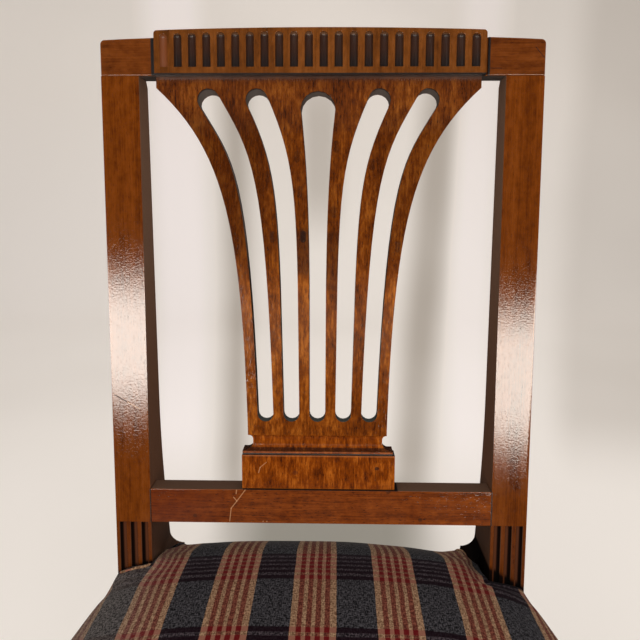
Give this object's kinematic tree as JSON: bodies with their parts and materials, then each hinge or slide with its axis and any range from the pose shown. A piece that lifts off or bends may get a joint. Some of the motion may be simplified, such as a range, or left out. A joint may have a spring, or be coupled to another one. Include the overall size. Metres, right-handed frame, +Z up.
{
  "type": "side chair",
  "caption": "Upright wooden side chair with a pierced fan splat, a fluted crest tablet, tapered front legs, stretchers and a domed plaid seat stuffed over its rails.",
  "frame": {"origin": "on the floor, under the middle of the chair's bounding box", "axes": "+Z up, +Y towards the chair's back, so that the chair faces -Y, and +X to the right seen from the front"},
  "size_m": [0.5132, 0.5336, 0.9819],
  "materials": {
    "mahogany": "old mahogany under a warm, worn French polish",
    "beech": "plain unpolished beech",
    "steel": "plain wood screws",
    "iron": "blued cut tacks",
    "webbing": "woven jute web",
    "hessian": "coarse jute hessian",
    "hair": "curled hair stuffing under wadding",
    "plaid": "woven plaid cloth in slate, beige, plum and deep red",
    "dust_cloth": "black cambric"
  },
  "bodies": {
    "root": {"back_post_left": "mahogany", "back_post_right": "mahogany", "crest_rail": "mahogany", "crest_tablet": "mahogany", "splat": "mahogany", "shoe_moulding": "mahogany", "shoe_block": "mahogany", "lower_back_rail": "mahogany", "seat_rail_front": "beech", "seat_rail_back": "beech", "seat_rail_left": "beech", "seat_rail_right": "beech", "front_leg_left": "mahogany", "front_leg_right": "mahogany", "side_stretcher_left": "mahogany", "side_stretcher_right": "mahogany", "cross_stretcher": "mahogany", "back_stretcher": "mahogany", "corner_block_front_left": "beech", "corner_block_front_right": "beech", "corner_block_back_left": "beech", "corner_block_back_right": "beech", "corner_block_screws": "steel", "webbing_lengthwise": "webbing", "webbing_crosswise": "webbing", "webbing_tacks": "iron", "hessian": "hessian", "seat_stuffing": "hair", "seat_cover": "plaid", "dust_cover": "dust_cloth", "dust_cover_tacks": "iron"}
  },
  "joints": []
}
